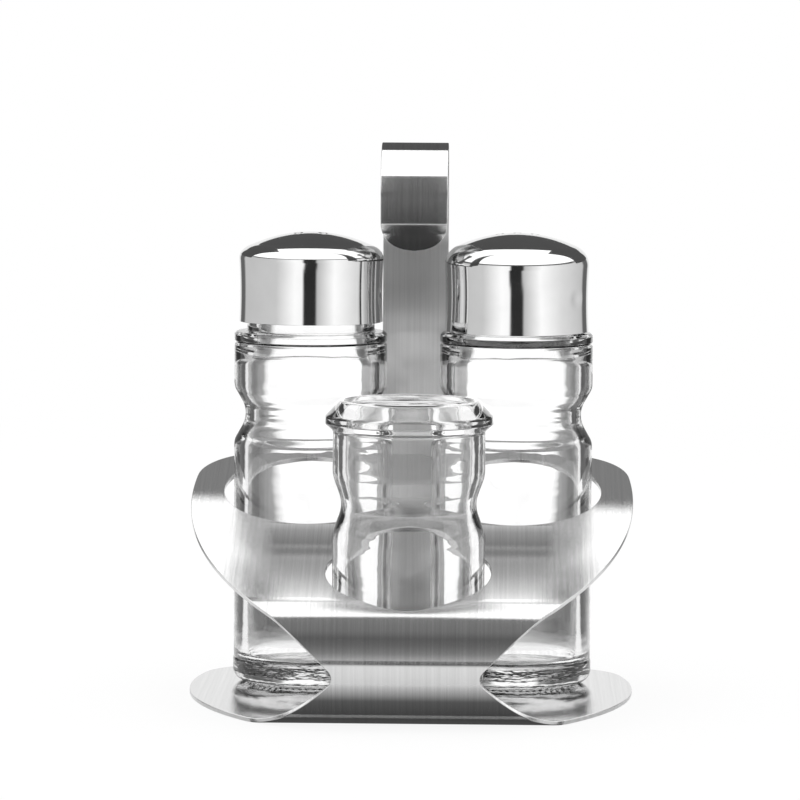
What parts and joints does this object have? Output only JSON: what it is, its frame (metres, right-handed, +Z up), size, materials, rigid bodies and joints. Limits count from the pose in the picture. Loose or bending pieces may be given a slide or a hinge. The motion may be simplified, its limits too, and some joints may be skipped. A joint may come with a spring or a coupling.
{
  "type": "condiment set",
  "caption": "Bent sheet-steel table stand with a curled carrying strip, glass salt and pepper shakers with domed steel caps, and an open glass for toothpicks.",
  "frame": {"origin": "under the middle of the bounding box, on the table", "axes": "+Z up; the front faces -Y, with the bend and the toothpick glass; +X is to the right of someone looking at the front"},
  "size_m": [0.1046, 0.0963, 0.129],
  "materials": {
    "stand_steel": "stainless sheet, brushed along its run, polished on the base",
    "cap_steel": "stainless sheet, mirror polished after pressing",
    "shaker_glass": "clear pressed glass, fire polished",
    "toothpick_glass": "clear pressed glass, fire polished"
  },
  "bodies": {
    "stand": {"stand_sheet": "stand_steel", "handle_strip": "stand_steel"},
    "shaker_left": {"shaker_glass_left": "shaker_glass"},
    "cap_left": {"shaker_cap_left": "cap_steel"},
    "shaker_right": {"shaker_glass_right": "shaker_glass"},
    "cap_right": {"shaker_cap_right": "cap_steel"},
    "toothpick": {"toothpick_glass": "toothpick_glass"}
  },
  "joints": [
    {"name": "shaker_left_lift", "type": "slide", "parent": "stand", "child": "shaker_left", "axis": [-0.0462, 0, 0.9989], "range_m": [0, 0.06]},
    {"name": "shaker_right_lift", "type": "slide", "parent": "stand", "child": "shaker_right", "axis": [0.0462, 0, 0.9989], "range_m": [0, 0.06]},
    {"name": "cap_left_off", "type": "slide", "parent": "shaker_left", "child": "cap_left", "axis": [-0.0462, 0, 0.9989], "range_m": [0, 0.02]},
    {"name": "cap_right_off", "type": "slide", "parent": "shaker_right", "child": "cap_right", "axis": [0.0462, 0, 0.9989], "range_m": [0, 0.02]},
    {"name": "toothpick_lift", "type": "slide", "parent": "stand", "child": "toothpick", "axis": [0, 0, 1], "range_m": [0, 0.055]}
  ]
}
